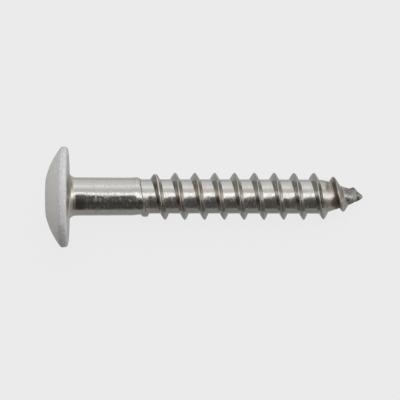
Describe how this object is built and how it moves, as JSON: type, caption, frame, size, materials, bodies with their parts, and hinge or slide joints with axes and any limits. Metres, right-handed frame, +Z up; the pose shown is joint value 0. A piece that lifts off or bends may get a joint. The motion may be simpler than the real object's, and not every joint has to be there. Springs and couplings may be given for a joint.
{
  "type": "facade screw",
  "caption": "Panel fixing screw with a low domed lacquered head, six-lobe socket, short plain shank, right-handed wood thread and gimlet point, lying on its side.",
  "frame": {"origin": "middle of the bounding box on the surface that the screw lies on", "axes": "+X from the head to the point, along the surface; +Z up; the screw's own axis slopes down by 6.3 degrees towards the point, because it rests on the head's rim and on one thread crest"},
  "size_m": [0.0378, 0.012, 0.0119],
  "materials": {
    "stainless_steel": "bright rolled stainless steel, tumbled, with faint drawing lines and slightly darker thread roots; the head's dome and rim carry a light grey satin lacquer"
  },
  "bodies": {
    "root": {"screw": "stainless_steel"}
  },
  "joints": []
}
